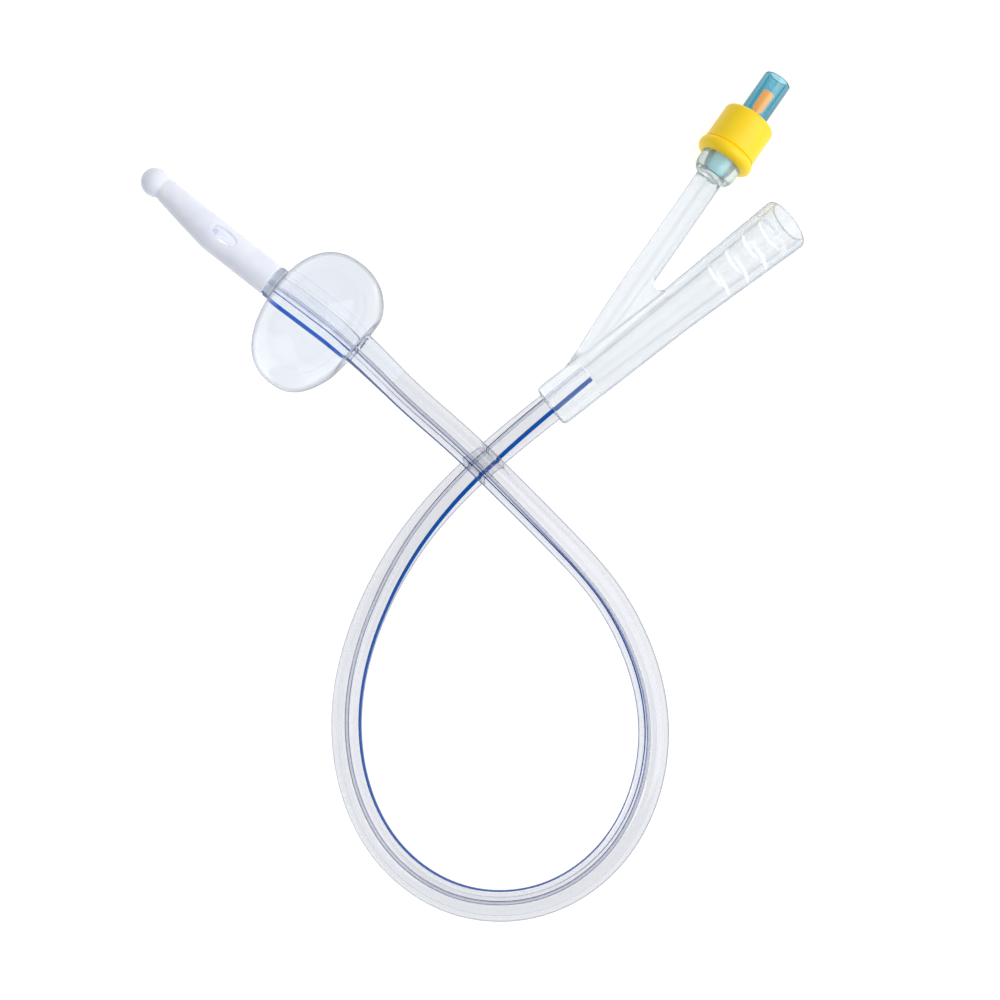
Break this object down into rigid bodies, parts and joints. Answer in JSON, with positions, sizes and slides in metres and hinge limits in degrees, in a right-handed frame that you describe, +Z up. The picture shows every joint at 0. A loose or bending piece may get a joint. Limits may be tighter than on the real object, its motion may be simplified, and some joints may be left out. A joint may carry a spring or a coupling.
{
  "type": "foley urinary catheter",
  "caption": "Clear silicone balloon catheter lying in a loop, with a white tip, a filled balloon, a drainage funnel and a side arm with a sprung filling valve.",
  "frame": {"origin": "centre of the object's outline on the table top that it lies on", "axes": "+X along the drainage funnel towards its open mouth, +Z up from the table, +Y to the side that the valve arm branches towards"},
  "size_m": [0.1753, 0.1799, 0.0316],
  "materials": {
    "tip": "satin white silicone",
    "shaft": "clear silicone",
    "xray_stripe": "matte blue",
    "balloon": "clear silicone film",
    "y_funnel": "frosted silicone",
    "colour_ring": "satin yellow",
    "valve_housing": "clear teal",
    "valve_plug": "satin grey",
    "valve_spring": "drawn wire",
    "valve_plunger": "satin orange",
    "valve_seal": "matte grey"
  },
  "bodies": {
    "catheter": {"tip": "tip", "shaft": "shaft", "xray_stripe": "xray_stripe", "balloon": "balloon", "y_funnel": "y_funnel", "colour_ring": "colour_ring", "valve_housing": "valve_housing", "valve_plug": "valve_plug", "valve_spring": "valve_spring"},
    "plunger": {"valve_plunger": "valve_plunger", "valve_seal": "valve_seal"}
  },
  "joints": [
    {"name": "valve_plunger_slide", "type": "slide", "parent": "catheter", "child": "plunger", "axis": [-0.9548, -0.2974, 0], "range_m": [0, 0.0015], "stiffness_N_per_m": 300, "springref_m": -0.003, "deforming": ["valve_spring"]}
  ]
}
